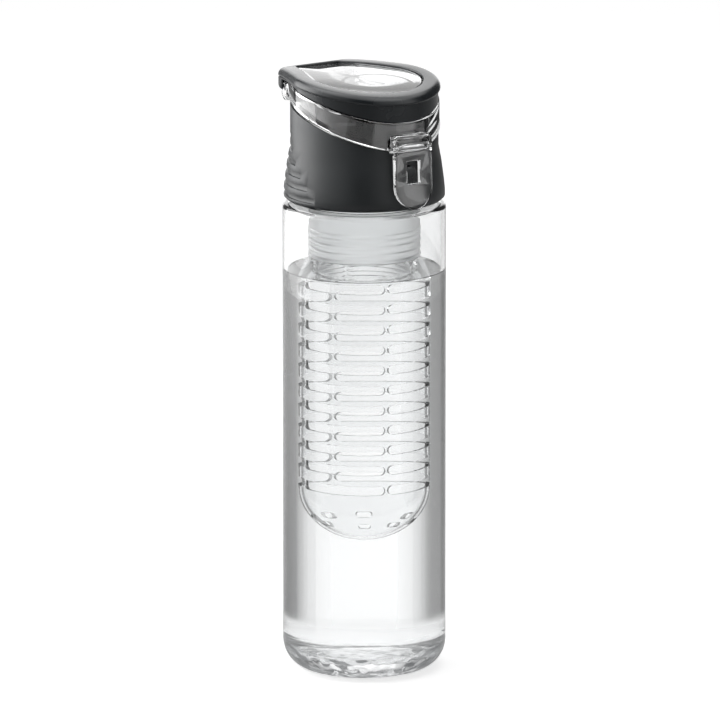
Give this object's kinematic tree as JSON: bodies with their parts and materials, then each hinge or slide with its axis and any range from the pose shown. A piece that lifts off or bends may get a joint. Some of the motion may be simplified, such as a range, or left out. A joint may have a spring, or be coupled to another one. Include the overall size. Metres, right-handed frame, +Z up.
{
  "type": "infuser drinking bottle",
  "caption": "Clear cylindrical drinking bottle with a slotted fruit infuser hanging from its screw cap, a drinking spout and a slanted clear flip-up lid held by a strap latch.",
  "frame": {"origin": "centre of the base ring that the bottle stands on, on the bottle's axis", "axes": "+Z up along the bottle's axis; -Y towards the latch at the front; the lid's hinge is on the +Y side"},
  "size_m": [0.07, 0.079, 0.2592],
  "materials": {
    "body_clear": "clear, polished",
    "gasket_silicone": "soft, milky",
    "collar_charcoal": "satin",
    "cup_black": "gloss",
    "sleeve_frosted": "frosted, translucent",
    "basket_clear": "clear, polished",
    "lid_clear": "clear, polished",
    "ring_charcoal": "semi-gloss",
    "seal_clear": "soft, translucent",
    "pin_steel": "drawn",
    "latch_clear": "clear, polished"
  },
  "bodies": {
    "bottle": {"bottle_body": "body_clear"},
    "cap_seal": {"neck_gasket": "gasket_silicone"},
    "cap": {"collar_shell": "collar_charcoal", "spout_cup": "cup_black", "infuser_sleeve": "sleeve_frosted", "hinge_pin": "pin_steel"},
    "basket": {"infuser_basket": "basket_clear"},
    "lid": {"lid_shell": "lid_clear", "lid_ring": "ring_charcoal", "spout_seal": "seal_clear"},
    "latch": {"latch": "latch_clear"}
  },
  "joints": [
    {"name": "cap_lift", "type": "slide", "parent": "bottle", "child": "cap_seal", "axis": [0, 0, 1], "range_m": [0, 0.195]},
    {"name": "cap_turn", "type": "hinge", "parent": "cap_seal", "child": "cap", "pos_m": [0, 0, 0.2038], "axis": [0, 0, 1], "range_deg": [0, 540]},
    {"name": "basket_drop", "type": "slide", "parent": "cap", "child": "basket", "axis": [0, 0, -1], "range_m": [0, 0.03]},
    {"name": "lid_hinge", "type": "hinge", "parent": "cap", "child": "lid", "pos_m": [0, 0.034, 0.2475], "axis": [-1, 0, 0], "range_deg": [0, 115]},
    {"name": "latch_hinge", "type": "hinge", "parent": "lid", "child": "latch", "pos_m": [0, -0.0353, 0.2332], "axis": [-1, 0, 0], "range_deg": [0, 100]}
  ]
}
